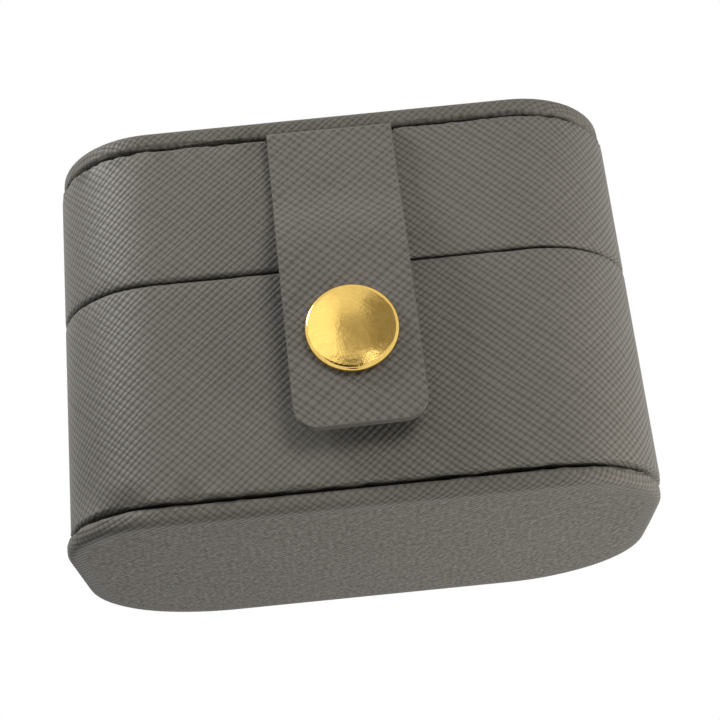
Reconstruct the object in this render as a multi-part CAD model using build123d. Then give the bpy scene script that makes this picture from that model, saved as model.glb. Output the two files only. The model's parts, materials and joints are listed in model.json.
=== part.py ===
from build123d import *
import math
import os

# Hinged ring box with a snap strap, upright and closed, in millimetres.
# +X is the viewer's right, -Y the front and +Z up; the origin is the middle of the bottom face.

# Box outline and heights
box_width = 75.0
box_depth = 45.0
front_corner_radius = 13.5
back_corner_radius = 17.5
base_wall_height = 29.2
lid_wall_height = 19.6
seam_gap = 0.4
panel_setback = 0.3

# Sheet materials
leather = 0.6
wall_board_thickness = 2.0
bottom_board_thickness = 1.1
top_board_thickness = 1.5
liner_thickness = 0.8
liner_setback = 1.0
wall_hem_depth = 4.5
panel_hem_width = 8.0
wall_edge_bevel = 0.5
panel_edge_bevel = 0.6

# Ring cushions and lid pad
roll_count = 4
roll_height = 10.5
roll_setback = 6.0
roll_gap = 0.2
roll_end_bevel = 3.0
roll_foot_radius = 0.8
soft_clearance = 0.2
lid_pad_thickness = 3.5
lid_pad_edge_bevel = 1.8

# Strap
strap_width = 16.3
strap_drop = 42.6
strap_lean = 0.8
strap_corner_radius = 3.0
strap_leather = 0.6
strap_core_thickness = 0.3
strap_backing_thickness = 0.5
strap_wall_clearance = 0.15
strap_standoff = 2.4
strap_flex_length = 2.2
strap_bend_start = 8.5
strap_bend_height = 10.0
strap_tail_clearance = 0.1
strap_fold_radius = 0.5

# Snap fastener
snap_above_strap_end = 12.1
cap_radius = 5.8
cap_height = 1.6
cap_rim_height = 1.3
cap_edge_bevel = 0.4
cap_crown_radius = 3.2
cap_shell = 0.35
cap_post_radius = 1.5
cap_flare_radius = 1.9
cap_flare_thickness = 0.3
socket_radius = 5.0
socket_gap = 0.05
socket_mouth_radius = 2.15
socket_lip = 0.3
socket_chamber_radius = 2.6
socket_back = 0.35
socket_edge_bevel = 0.25
spring_wire = 0.3
spring_neck_clearance = 0.1
stud_flange_radius = 4.5
stud_flange_thickness = 0.5
stud_neck_radius = 1.65
stud_neck_height = 0.65
stud_head_radius = 1.9
stud_head_height = 0.5
stud_head_bevel = 0.15
post_radius = 1.1
post_fit = 0.05
post_flange_radius = 3.0
post_flange_thickness = 0.4
post_flare_radius = 1.45
post_flare_thickness = 0.25
rivet_hole_clearance = 0.1

# Leather hinge
hinge_width = 38.0
hinge_half_height = 8.0
hinge_pocket_clearance = 0.05

# Heights that follow
bottom_panel_height = bottom_board_thickness + 2 * leather
top_panel_height = top_board_thickness + 2 * leather
base_wall_bottom = bottom_panel_height
base_rim = base_wall_bottom + base_wall_height
lid_rim = base_rim + seam_gap
lid_wall_top = lid_rim + lid_wall_height
box_height = lid_wall_top + top_panel_height
seam_height = base_rim + seam_gap / 2

# Insets from the outside face that follow
board_inner = leather + wall_board_thickness
liner_outer = board_inner + leather
liner_inner = liner_outer + liner_thickness
soft_inset = liner_inner + soft_clearance
front_face = -box_depth / 2
back_face = box_depth / 2

# Strap and snap places that follow
strap_thickness = strap_leather + strap_core_thickness + strap_backing_thickness
strap_end = lid_wall_top - strap_drop
strap_axis_height = lid_wall_top - strap_flex_length
strap_axis_y = front_face - strap_wall_clearance - strap_thickness / 2
snap_height = strap_end + snap_above_strap_end
socket_height = strap_standoff - stud_flange_thickness - socket_gap
stud_top = stud_flange_thickness + stud_neck_height + stud_head_height
snap_offset = (lid_wall_top - snap_height) * math.tan(math.radians(strap_lean))


def outline(inset):
    """Plan of the box drawn in by inset: tighter corners in front, rounder ones at the back."""
    plan = Rectangle(box_width - 2 * inset, box_depth - 2 * inset)
    front = plan.vertices().sort_by(Axis.Y)[:2]
    plan = fillet(front, front_corner_radius - inset)
    back = plan.vertices().sort_by(Axis.Y)[-2:]
    return fillet(back, back_corner_radius - inset)


def slab(inset, low, high):
    """Solid plate with the box's plan between two heights."""
    return extrude(Pos(0, 0, low) * outline(inset), high - low)


def bevelled(plate, side, length):
    """Plate with the edges cut at 45 degrees round its lower face, side 0, or upper face, side -1."""
    return chamfer(plate.faces().sort_by(Axis.Z)[side].edges(), length)


def front_plane(outward):
    """Plane parallel to the front face, that far in front of it, centred on the snap."""
    return Plane(origin=(snap_offset, front_face - outward, snap_height), x_dir=(1, 0, 0), z_dir=(0, -1, 0))


def turned(profile, outward):
    """Solid of revolution about the snap's axis, its profile drawn as radius against height."""
    round_part = revolve(Plane.XZ * profile, Axis.Z)
    return front_plane(outward) * round_part


def snap_hole(radius):
    """Round hole through the front wall and the strap on the snap's axis."""
    depth = strap_standoff + strap_thickness + liner_outer + leather
    return front_plane(-liner_outer) * Cylinder(radius, depth, align=(Align.CENTER, Align.CENTER, Align.MIN))


def wall_board(low, high):
    """Stiff board bent to the box's plan, as deep as the wall less its two hems."""
    outside = slab(leather, low + leather, high - leather)
    return outside - slab(board_inner, low, high)


def wall_cover(low, high):
    """Leather round a wall board, turned over both of its rims and glued down inside."""
    skin = bevelled(bevelled(slab(0, low, high), 0, wall_edge_bevel), -1, wall_edge_bevel)
    skin -= slab(leather, low + leather, high - leather) - slab(board_inner, low, high)
    skin -= slab(liner_outer, low, high)
    hem = leather + wall_hem_depth
    return skin - slab(board_inner, low + hem, high - hem)


def panel_board(low, high):
    """Stiff flat board of a top or bottom panel."""
    return slab(panel_setback + leather, low + leather, high - leather)


def panel_cover(low, high, hem_on_top):
    """Leather over one face of a panel board, round its edge and turned in on the other face."""
    outside = 0 if hem_on_top else -1
    skin = bevelled(slab(panel_setback, low, high), outside, panel_edge_bevel)
    skin -= panel_board(low, high)
    if hem_on_top:
        return skin - slab(panel_hem_width, high - leather, high)
    return skin - slab(panel_hem_width, low, low + leather)


def wall_liner(low, high):
    """Suede-covered card that lines a wall and hides its turned hems."""
    return slab(liner_outer, low, high) - slab(liner_inner, low, high)


def strap_edge(offset):
    """Side view of the strap, seen along X, this far out from its wall side, from top to end."""
    bow = strap_standoff - strap_wall_clearance
    bend_radius = (strap_bend_height**2 + bow**2) / (4 * bow)
    turn = math.degrees(2 * math.atan2(bow, strap_bend_height))
    start = (front_face - strap_wall_clearance - offset, strap_axis_height)
    bend_top = (start[0], lid_wall_top - strap_bend_start)
    leaving = Line(start, bend_top)
    outward = JernArc(bend_top, (0, -1), bend_radius - offset, -turn)
    settling = JernArc(outward @ 1, outward % 1, bend_radius + offset, turn)
    hanging = Line(settling @ 1, ((settling @ 1).X, strap_end - strap_corner_radius))
    return [leaving, outward, settling, hanging]


def strap_layer(inner_offset, outer_offset):
    """One layer of the strap between two offsets, with its round lower corners and snap hole."""
    inner = strap_edge(inner_offset)
    outer = strap_edge(outer_offset)
    top = Line(inner[0] @ 0, outer[0] @ 0)
    end = Line(inner[-1] @ 1, outer[-1] @ 1)
    side = make_face(Curve() + [*inner, *outer, top, end])
    layer = extrude(Plane.YZ * side, strap_width, both=True)
    return layer & strap_face() - snap_hole(cap_post_radius + rivet_hole_clearance)


def strap_face():
    """Block with the strap's front view: two round corners at its end, which leans to the right."""
    face = Pos(0, -strap_drop / 2) * Rectangle(strap_width, strap_drop)
    face = fillet(face.vertices().sort_by(Axis.Y)[:2], strap_corner_radius)
    face = Pos(0, lid_wall_top) * Rot(0, 0, strap_lean) * face
    return extrude(Plane.XZ * face, box_depth)


def strap_root():
    """Flexible top of the strap: up the wall, folded over and tucked under the top panel."""
    outer = front_face - strap_wall_clearance - strap_thickness
    inner = front_face - strap_wall_clearance
    tail_end = front_face + liner_outer
    underside = lid_wall_top - leather
    side = Polyline(
        (outer, strap_axis_height),
        (outer, lid_wall_top),
        (tail_end, lid_wall_top),
        (tail_end, underside),
        (inner, underside),
        (inner, strap_axis_height),
        close=True,
    )
    root = extrude(Plane.YZ * make_face(side), strap_width / 2, both=True)
    fold = root.edges().filter_by(Axis.X).group_by(Axis.Y)[0].sort_by(Axis.Z)[-1]
    return fillet(fold, strap_fold_radius)


def strap_tail_pocket():
    """Room that the strap's tucked tail takes out of the hem on top of the lid wall."""
    width = strap_width + 2 * strap_tail_clearance
    pocket = Box(width, 2 * liner_outer, 2 * leather)
    return Pos(0, front_face, lid_wall_top) * pocket


def hinge_block(clearance):
    """Leather hinge across the seam at the back, flush with the covers beside it."""
    width = hinge_width + 2 * clearance
    height = 2 * (hinge_half_height + clearance)
    return Pos(0, back_face - leather / 2, seam_height) * Box(width, leather, height)


def disc(radius, low, high):
    """Half section of a round disc or shank on the snap's axis, between two heights."""
    return Pos(radius / 2, (low + high) / 2) * Rectangle(radius, high - low)


def snap_cap():
    """Shallow pressed cap with a turned edge, and the post that rivets it through the strap."""
    face_radius = cap_radius - cap_edge_bevel
    inner_radius = face_radius - cap_shell
    ceiling = cap_rim_height - cap_shell
    outside = Polyline(
        (inner_radius, 0),
        (face_radius, 0),
        (cap_radius, cap_edge_bevel),
        (cap_radius, cap_rim_height - cap_edge_bevel),
        (face_radius, cap_rim_height),
        (cap_crown_radius, cap_height),
        (0, cap_height),
    )
    inside = Polyline((0, cap_height), (0, ceiling), (inner_radius, ceiling), (inner_radius, 0))
    reach = strap_thickness + socket_back
    post = disc(cap_post_radius, -reach, cap_height - cap_shell)
    flare = disc(cap_flare_radius, -reach - cap_flare_thickness, -reach)
    profile = make_face(Curve() + [outside, inside]) + post + flare
    return turned(profile, strap_standoff + strap_thickness)


def snap_socket():
    """Ring on the back of the strap that closes over the stud, with a chamber for its spring."""
    body = disc(socket_radius, 0, socket_height)
    body = chamfer(body.vertices().group_by(Axis.X)[-1], socket_edge_bevel)
    mouth = disc(socket_mouth_radius, 0, socket_lip)
    chamber = disc(socket_chamber_radius, socket_lip, socket_height - socket_back)
    rivet_hole = disc(cap_post_radius + post_fit, socket_height - socket_back, socket_height)
    return turned(body - mouth - chamber - rivet_hole, strap_standoff - socket_height)


def snap_spring():
    """Flat wire spring ring in the socket that grips the neck of the stud."""
    inner_radius = stud_neck_radius + spring_neck_clearance
    ring = disc(inner_radius + spring_wire, 0, spring_wire) - disc(inner_radius, 0, spring_wire)
    return turned(ring, strap_standoff - socket_height + socket_lip)


def snap_stud():
    """Stud on the base wall: round flange, neck and head, bored for its rivet post."""
    neck_top = stud_flange_thickness + stud_neck_height
    flange = disc(stud_flange_radius, 0, stud_flange_thickness)
    neck = disc(stud_neck_radius, 0, neck_top)
    head = disc(stud_head_radius, neck_top, stud_top)
    head = chamfer(head.vertices().group_by(Axis.X)[-1], stud_head_bevel)
    bore = disc(post_radius + post_fit, 0, stud_top)
    seat = disc(post_flare_radius + post_fit, stud_top - post_flare_thickness, stud_top)
    return turned(flange + neck + head - bore - seat, 0)


def snap_post():
    """Rivet post of the stud: flange inside the wall board, shank through it, flared in the head."""
    flange = disc(post_flange_radius, -board_inner - post_flange_thickness, -board_inner)
    shank = disc(post_radius, -board_inner, stud_top)
    flare = disc(post_flare_radius, stud_top - post_flare_thickness, stud_top)
    return turned(flange + shank + flare, 0)


def ring_roll(index):
    """One velvet ring cushion: round top and drawn-in ends, shaped to the corners of the box."""
    inner_depth = box_depth - 2 * soft_inset
    pitch = (inner_depth + roll_gap) / roll_count
    width = pitch - roll_gap
    top = base_rim - roll_setback
    bottom = top - roll_height
    section = Rectangle(width, roll_height)
    section = fillet(section.vertices().group_by(Axis.Y)[-1], width / 2 - roll_gap)
    section = fillet(section.vertices().group_by(Axis.Y)[0], roll_foot_radius)
    y = -inner_depth / 2 + width / 2 + index * pitch
    roll = Pos(0, y, bottom + roll_height / 2) * extrude(Plane.YZ * section, box_width / 2, both=True)
    return roll & bevelled(slab(soft_inset, bottom, top), -1, roll_end_bevel)


def roll_bed():
    """Foam block that fills the base under the ring cushions."""
    return slab(soft_inset, base_wall_bottom, base_rim - roll_setback - roll_height)


def lid_pad():
    """Soft pad under the top panel, with a bevelled crown that faces down into the box."""
    return bevelled(slab(soft_inset, lid_wall_top - lid_pad_thickness, lid_wall_top), 0, lid_pad_edge_bevel)


stud_hole = snap_hole(post_radius + rivet_hole_clearance)
hinge_pocket = hinge_block(hinge_pocket_clearance)
outer_offset = strap_thickness
core_offset = strap_backing_thickness + strap_core_thickness

nodes = {
    "bottom_board": panel_board(0, bottom_panel_height),
    "bottom_cover": panel_cover(0, bottom_panel_height, True),
    "base_wall_board": wall_board(base_wall_bottom, base_rim) - stud_hole,
    "base_wall_cover": wall_cover(base_wall_bottom, base_rim) - stud_hole - hinge_pocket,
    "base_liner": wall_liner(base_wall_bottom, base_rim - liner_setback),
    "roll_bed": roll_bed(),
    "snap_stud": snap_stud(),
    "snap_post": snap_post(),
    "hinge_strip": hinge_block(0),
    "lid_wall_board": wall_board(lid_rim, lid_wall_top),
    "lid_wall_cover": wall_cover(lid_rim, lid_wall_top) - strap_tail_pocket() - hinge_pocket,
    "top_board": panel_board(lid_wall_top, box_height),
    "top_cover": panel_cover(lid_wall_top, box_height, False),
    "lid_liner": wall_liner(lid_rim + liner_setback, lid_wall_top),
    "lid_pad": lid_pad(),
    "strap_root": strap_root(),
    "strap_backing": strap_layer(0, strap_backing_thickness),
    "strap_core": strap_layer(strap_backing_thickness, core_offset),
    "strap_outer": strap_layer(core_offset, outer_offset),
    "snap_cap": snap_cap(),
    "snap_socket": snap_socket(),
    "snap_spring": snap_spring(),
}
for index in range(roll_count):
    nodes[f"ring_roll_{index + 1}"] = ring_roll(index)

os.makedirs("parts", exist_ok=True)
for name, shape in nodes.items():
    export_step(shape, f"parts/{name}.step")
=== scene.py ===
import json
import math

import bmesh
import bpy
from mathutils import Matrix, Vector


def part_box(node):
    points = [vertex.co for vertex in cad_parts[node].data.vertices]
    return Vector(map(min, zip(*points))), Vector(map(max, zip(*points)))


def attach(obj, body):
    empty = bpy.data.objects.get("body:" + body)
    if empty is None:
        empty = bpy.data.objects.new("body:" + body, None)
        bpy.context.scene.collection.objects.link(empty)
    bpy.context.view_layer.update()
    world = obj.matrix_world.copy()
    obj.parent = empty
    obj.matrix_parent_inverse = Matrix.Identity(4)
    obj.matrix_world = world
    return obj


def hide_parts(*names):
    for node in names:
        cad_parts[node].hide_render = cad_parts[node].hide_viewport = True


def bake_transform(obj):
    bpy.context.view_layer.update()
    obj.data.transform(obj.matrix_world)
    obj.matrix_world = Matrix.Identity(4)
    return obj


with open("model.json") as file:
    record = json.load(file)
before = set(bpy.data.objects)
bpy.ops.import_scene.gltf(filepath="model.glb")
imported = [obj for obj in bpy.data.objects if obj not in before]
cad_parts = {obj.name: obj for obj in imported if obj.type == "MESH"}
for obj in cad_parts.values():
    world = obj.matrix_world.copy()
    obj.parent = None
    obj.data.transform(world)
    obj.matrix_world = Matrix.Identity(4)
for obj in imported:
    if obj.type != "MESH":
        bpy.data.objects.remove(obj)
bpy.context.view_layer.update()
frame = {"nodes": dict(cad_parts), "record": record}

# Lengths are in metres; corners closer than a hair are one, and heights closer than levelSlack are one level
mm = 0.001
hair = 1e-6
levelSlack = 1e-5


# Small helpers for modelling by hand
def deselectAll():
    if bpy.context.object and bpy.context.object.mode == "EDIT":
        bpy.ops.object.mode_set(mode="OBJECT")
    bpy.ops.object.select_all(action="DESELECT")


def editNew(name):
    piece = bpy.context.object
    piece.name = name
    piece.data.name = name
    bpy.ops.object.mode_set(mode="EDIT")
    return piece


def selectAll():
    bpy.ops.mesh.select_all(action="SELECT")


def pick(kind, test):
    bpy.ops.mesh.select_mode(type=kind)
    bpy.ops.mesh.select_all(action="DESELECT")
    mesh = bpy.context.object.data
    shape = bmesh.from_edit_mesh(mesh)
    parts = {"VERT": shape.verts, "EDGE": shape.edges, "FACE": shape.faces}[kind]
    for part in parts:
        if test(part):
            part.select_set(True)
    shape.select_flush_mode()
    bmesh.update_edit_mesh(mesh)


def atHeight(edge, height):
    return all(abs(vertex.co.z - height) < levelSlack for vertex in edge.verts)


def fillBox(low, high, shrink=0):
    bpy.ops.transform.resize(value=[b - a - 2 * shrink for a, b in zip(low, high)])
    bpy.ops.transform.translate(value=[(a + b) / 2 for a, b in zip(low, high)])


def choose(piece):
    deselectAll()
    piece.select_set(True)
    bpy.context.view_layer.objects.active = piece


def reopen(piece):
    deselectAll()
    bpy.context.view_layer.objects.active = piece
    bpy.ops.object.mode_set(mode="EDIT")


def shapeWith(piece, kind, **settings):
    deselectAll()
    modifier = piece.modifiers.new(kind.title(), kind)
    for key, value in settings.items():
        setattr(modifier, key, value)
    bpy.context.view_layer.objects.active = piece
    bpy.ops.object.modifier_apply(modifier=modifier.name)


def carve(piece, cutter, operation="DIFFERENCE"):
    shapeWith(piece, "BOOLEAN", operation=operation, solver="EXACT", object=cutter)
    bpy.data.objects.remove(cutter)


def cleanNormals():
    selectAll()
    bpy.ops.mesh.remove_doubles(threshold=hair)
    bpy.ops.mesh.normals_make_consistent(inside=False)


def settle(piece, angle=35):
    choose(piece)
    bpy.ops.object.transform_apply(location=True, rotation=True, scale=True)
    bpy.ops.object.shade_smooth_by_angle(angle=math.radians(angle))
    piece.select_set(False)


def dress(piece, material, slotName, body, *nodes):
    if not piece.data.materials:
        piece.data.materials.append(material)
    if body:
        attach(piece, body)
    if nodes:
        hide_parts(*nodes)


# The box's plan and heights
plan = {
    "width": 75 * mm,
    "depth": 45 * mm,
    "frontRadius": 13.5 * mm,
    "backRadius": 17.5 * mm,
    "cornerSteps": 16,
    "straightCuts": 36,
    "shortestStraight": 8 * mm,
    "besideStrap": 9.5 * mm,
    "slack": 0.3 * mm,
}
baseLow, baseHigh = (corner.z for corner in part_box("base_wall_cover"))
lidLow, lidHigh = (corner.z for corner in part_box("lid_wall_cover"))
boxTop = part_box("top_cover")[1].z
seamZ = (baseHigh + lidLow) / 2
frontY = -plan["depth"] / 2
backY = plan["depth"] / 2


# Distance along the outline from the middle of the front, and depth inside the outline
def alongPlan(x, y):
    halfWidth, halfDepth = plan["width"] / 2, plan["depth"] / 2
    front, back = plan["frontRadius"], plan["backRadius"]
    side, px = (1, x) if x >= 0 else (-1, -x)
    frontEnd = halfWidth - front
    sideStart = frontEnd + front * math.pi / 2
    sideEnd = sideStart + plan["depth"] - front - back
    if y < front - halfDepth:
        if px <= frontEnd:
            return side * px, halfDepth + y
        angle = math.atan2(px - frontEnd, front - halfDepth - y)
        reach = math.hypot(px - frontEnd, front - halfDepth - y)
        return side * (frontEnd + front * angle), front - reach
    if y <= halfDepth - back:
        return side * (sideStart + y + halfDepth - front), halfWidth - px
    if px > halfWidth - back:
        angle = math.atan2(y - halfDepth + back, px - halfWidth + back)
        reach = math.hypot(y - halfDepth + back, px - halfWidth + back)
        return side * (sideEnd + back * angle), back - reach
    return side * (sideEnd + back * math.pi / 2 + halfWidth - back - px), halfDepth - y


bothRadii = plan["frontRadius"] + plan["backRadius"]
halfRound = plan["width"] + plan["depth"] + bothRadii * (math.pi / 2 - 2)


def followsPlan(edge):
    first, last = (alongPlan(*vertex.co.xy)[1] for vertex in edge.verts)
    return abs(first - last) < plan["slack"]


def underStrap(co):
    return abs(co.x) < plan["besideStrap"] and co.y < 0


# Every corner's place on the leather, in metres
leatherLayer = "leather"
turnedIn = {"wall": 1.6 * mm, "panel": 1.5 * mm, "slope": 0.15}


def layUv(piece, place):
    mesh = piece.data
    layer = mesh.uv_layers.new(name=leatherLayer)
    for face in mesh.polygons:
        spots = [place(mesh.vertices[mesh.loops[i].vertex_index].co, face.normal) for i in face.loop_indices]
        widest = max(spot[0] for spot in spots)
        for i, (u, v) in zip(face.loop_indices, spots):
            if widest - u > halfRound:
                u += 2 * halfRound
            layer.data[i].uv = (u, v)


def wallUv(low, high):
    def place(co, normal):
        u, depth = alongPlan(co.x, co.y)
        upper = co.z > (low + high) / 2
        if depth > turnedIn["wall"]:
            return (u, high + depth + high - co.z) if upper else (u, low - depth + low - co.z)
        return (u, co.z + depth) if upper else (u, co.z - depth)
    return place


def panelUv(face, sign):
    def place(co, normal):
        drop = abs(co.z - face)
        if alongPlan(co.x, co.y)[1] > turnedIn["panel"]:
            return co.x, sign * co.y
        side = Vector((normal.x, normal.y, 0))
        away = side.normalized() if side.length > turnedIn["slope"] else Vector((0, 0, 0))
        return co.x + away.x * drop, sign * (co.y + away.y * drop)
    return place


# Materials
def newMaterial(name):
    material = bpy.data.materials.new(name)
    material.use_nodes = True
    nodes = material.node_tree.nodes
    return material, nodes, material.node_tree.links, nodes["Principled BSDF"]


def valueMath(nodes, links, operation, first, second=None, third=None):
    node = nodes.new("ShaderNodeMath")
    node.operation = operation
    for socket, value in zip(node.inputs, (first, second, third)):
        if value is None:
            continue
        if isinstance(value, (int, float)):
            socket.default_value = value
        else:
            links.new(value, socket)
    return node.outputs[0]


def vectorMath(nodes, links, operation, first, second=None):
    node = nodes.new("ShaderNodeVectorMath")
    node.operation = operation
    links.new(first, node.inputs[0])
    if second is not None:
        node.inputs[1].default_value = second
    return node.outputs["Value" if operation == "LENGTH" else "Vector"]


def noise(nodes, links, vector, scale, detail=2.0, roughness=0.5):
    node = nodes.new("ShaderNodeTexNoise")
    node.inputs["Scale"].default_value = scale
    node.inputs["Detail"].default_value = detail
    node.inputs["Roughness"].default_value = roughness
    links.new(vector, node.inputs["Vector"])
    return node.outputs["Fac"]


def blendColours(nodes, links, factor, dark, light):
    node = nodes.new("ShaderNodeMix")
    node.data_type = "RGBA"
    links.new(factor, node.inputs["Factor"])
    node.inputs["A"].default_value = (*dark, 1)
    node.inputs["B"].default_value = (*light, 1)
    return node.outputs["Result"]


def emboss(nodes, links, shader, height, distance, strength=1.0):
    bump = nodes.new("ShaderNodeBump")
    bump.inputs["Strength"].default_value = strength
    bump.inputs["Distance"].default_value = distance
    links.new(height, bump.inputs["Height"])
    links.new(bump.outputs["Normal"], shader.inputs["Normal"])


def objectPlace(nodes):
    return nodes.new("ShaderNodeTexCoord").outputs["Object"]


# Cross-hatch leather: two families of cord-like ridges, each wandering a little on its own; the colour follows
# the height, with painted shade in the grooves
wallGrain = {
    "dark": (0.032, 0.028, 0.022),
    "light": (0.142, 0.132, 0.114),
    "midTone": 0.45,
    "grooveShade": 0.7,
    "risingPitch": 0.70 * mm,
    "fallingPitch": 0.80 * mm,
    "slant": 41,
    "relief": 0.088 * mm,
    "wander": 0.26,
    "wanderScale": 0.55,
    "wanderLength": 0.09,
    "wandersApart": 3.7,
    "risingShare": 0.56,
    "paintedRakeSwing": 0.19,
    "shareCloud": 0.3,
    "shareRange": (0.36, 0.62),
    "shareScale": 150.0,
    "cloud": 0.14,
    "cloudScale": 70.0,
    "grain": 0.06,
    "grainScale": 4200,
    "grainDraw": 1.0,
    "shine": 0.4,
    "roughness": 0.56,
    "valleyMatt": 0.1,
    "ridgeGloss": 0.14,
}
strapGrain = {
    **wallGrain,
    "risingPitch": 0.84 * mm,
    "fallingPitch": 0.84 * mm,
    "relief": 0.115 * mm,
    "risingShare": 0.52,
    "paintedRakeSwing": 0.0,
}
panelGrain = {
    **wallGrain,
    "dark": (0.032, 0.0275, 0.0205),
    "light": (0.142, 0.130, 0.108),
    "grooveShade": 0.36,
    "risingPitch": 0.62 * mm,
    "fallingPitch": 0.66 * mm,
    "relief": 0.06 * mm,
    "wander": 0.4,
    "risingShare": 0.5,
    "paintedRakeSwing": 0.0,
    "grain": 1.2,
    "grainScale": 1700,
    "grainDraw": 0.45,
    "shine": 0.12,
    "roughness": 0.66,
}
rimGrain = {
    **wallGrain,
    "grooveShade": 0.52,
    "relief": 0.11 * mm,
    "paintedRakeSwing": 0.0,
    "shine": 0.25,
}
# Mean height of the ridges, which gets the middle tone
ridgeMean = 0.64


def ridgeFamily(nodes, links, u, v, pitch, side, settings):
    turn = math.radians(settings["slant"])
    up = valueMath(nodes, links, "MULTIPLY", v, math.cos(turn) / pitch)
    across = valueMath(nodes, links, "MULTIPLY_ADD", u, side * math.sin(turn) / pitch, up)
    sideways = valueMath(nodes, links, "MULTIPLY", v, -side * math.sin(turn) / pitch)
    along = valueMath(nodes, links, "MULTIPLY_ADD", u, math.cos(turn) / pitch, sideways)
    stretched = nodes.new("ShaderNodeCombineXYZ")
    links.new(across, stretched.inputs["X"])
    links.new(valueMath(nodes, links, "MULTIPLY", along, settings["wanderLength"]), stretched.inputs["Y"])
    stretched.inputs["Z"].default_value = settings["wandersApart"] * side
    drift = noise(nodes, links, stretched.outputs["Vector"], settings["wanderScale"], detail=1.5)
    shifted = valueMath(nodes, links, "MULTIPLY_ADD", drift, 4 * settings["wander"], across)
    wave = valueMath(nodes, links, "SINE", valueMath(nodes, links, "MULTIPLY", shifted, math.pi))
    return valueMath(nodes, links, "ABSOLUTE", wave)


# One family gives way to the other in clouds, and along the wall in a swing that stands in for the lamps raking
# across each side: painted light, in the bump and in the tone
def risingShare(nodes, links, u, cloud, settings):
    swing = valueMath(nodes, links, "SINE", valueMath(nodes, links, "MULTIPLY", u, 3 * math.pi / halfRound))
    level = settings["risingShare"] - settings["shareCloud"] / 2
    drifting = valueMath(nodes, links, "MULTIPLY_ADD", swing, -settings["paintedRakeSwing"], level)
    share = valueMath(nodes, links, "MULTIPLY_ADD", cloud, settings["shareCloud"], drifting)
    low, high = settings["shareRange"]
    return valueMath(nodes, links, "MINIMUM", valueMath(nodes, links, "MAXIMUM", share, low), high)


def crossHatch(name, settings):
    material, nodes, links, shader = newMaterial(name)
    where = nodes.new("ShaderNodeUVMap")
    where.uv_map = leatherLayer
    place = where.outputs["UV"]
    split = nodes.new("ShaderNodeSeparateXYZ")
    links.new(place, split.inputs["Vector"])
    u, v = split.outputs["X"], split.outputs["Y"]
    cloud = noise(nodes, links, place, settings["shareScale"])
    rising = ridgeFamily(nodes, links, u, v, settings["risingPitch"], -1, settings)
    falling = ridgeFamily(nodes, links, u, v, settings["fallingPitch"], 1, settings)
    share = risingShare(nodes, links, u, cloud, settings)
    other = valueMath(nodes, links, "SUBTRACT", 1.0, share)
    height = valueMath(nodes, links, "MULTIPLY", rising, share)
    height = valueMath(nodes, links, "MULTIPLY_ADD", falling, other, height)
    drawn = vectorMath(nodes, links, "MULTIPLY", place, (1, settings["grainDraw"], 1))
    fine = noise(nodes, links, drawn, settings["grainScale"])
    height = valueMath(nodes, links, "MULTIPLY_ADD", fine, settings["grain"] * 2, height)
    emboss(nodes, links, shader, height, settings["relief"])
    # Ridges are painted lighter and grooves darker with the height: painted shade in the grooves, on top of the
    # bump
    depth = settings["grooveShade"]
    level = settings["midTone"] - (ridgeMean + settings["grain"]) * depth
    tone = valueMath(nodes, links, "MULTIPLY_ADD", height, depth, level)
    slow = noise(nodes, links, place, settings["cloudScale"], detail=3.0)
    tone = valueMath(nodes, links, "MULTIPLY_ADD", slow, settings["cloud"], tone)
    colour = blendColours(nodes, links, tone, settings["dark"], settings["light"])
    links.new(colour, shader.inputs["Base Color"])
    matt = settings["roughness"] + settings["valleyMatt"]
    gloss = valueMath(nodes, links, "MULTIPLY_ADD", height, -settings["ridgeGloss"], matt)
    links.new(gloss, shader.inputs["Roughness"])
    shader.inputs["Specular IOR Level"].default_value = settings["shine"]
    return material


def suedeCloth(name, dark, light, nap, bloom=0.6):
    material, nodes, links, shader = newMaterial(name)
    where = objectPlace(nodes)
    fibre = noise(nodes, links, where, 2600.0, detail=3.0, roughness=0.7)
    brushed = noise(nodes, links, where, 90.0)
    tone = valueMath(nodes, links, "MULTIPLY", fibre, 0.5)
    tone = valueMath(nodes, links, "MULTIPLY_ADD", brushed, 0.5, tone)
    links.new(blendColours(nodes, links, tone, dark, light), shader.inputs["Base Color"])
    emboss(nodes, links, shader, fibre, nap, strength=0.6)
    shader.inputs["Roughness"].default_value = 0.95
    shader.inputs["Sheen Weight"].default_value = bloom
    shader.inputs["Sheen Roughness"].default_value = 0.4
    return material


def greyBoard(name, dark, light):
    material, nodes, links, shader = newMaterial(name)
    pulp = noise(nodes, links, objectPlace(nodes), 900.0, detail=4.0, roughness=0.7)
    links.new(blendColours(nodes, links, pulp, dark, light), shader.inputs["Base Color"])
    shader.inputs["Roughness"].default_value = 0.9
    return material


def cellFoam(name, dark, light):
    material, nodes, links, shader = newMaterial(name)
    cells = nodes.new("ShaderNodeTexVoronoi")
    cells.inputs["Scale"].default_value = 1500.0
    links.new(objectPlace(nodes), cells.inputs["Vector"])
    tone = valueMath(nodes, links, "MULTIPLY", cells.outputs["Distance"], 1.4)
    links.new(blendColours(nodes, links, tone, dark, light), shader.inputs["Base Color"])
    shader.inputs["Roughness"].default_value = 0.95
    return material


# Metal with fine scratches: in rings round a centre on the cap, along one slant elsewhere
gilt = {"dark": (0.6, 0.36, 0.07), "light": (0.94, 0.66, 0.2), "roughness": 0.2}
sprung = {"dark": (0.35, 0.35, 0.35), "light": (0.6, 0.6, 0.6), "roughness": 0.3}


def finishMetal(nodes, links, shader, tone, gloss, settings):
    colour = blendColours(nodes, links, tone, settings["dark"], settings["light"])
    links.new(colour, shader.inputs["Base Color"])
    shader.inputs["Metallic"].default_value = 1.0
    links.new(gloss, shader.inputs["Roughness"])


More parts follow.
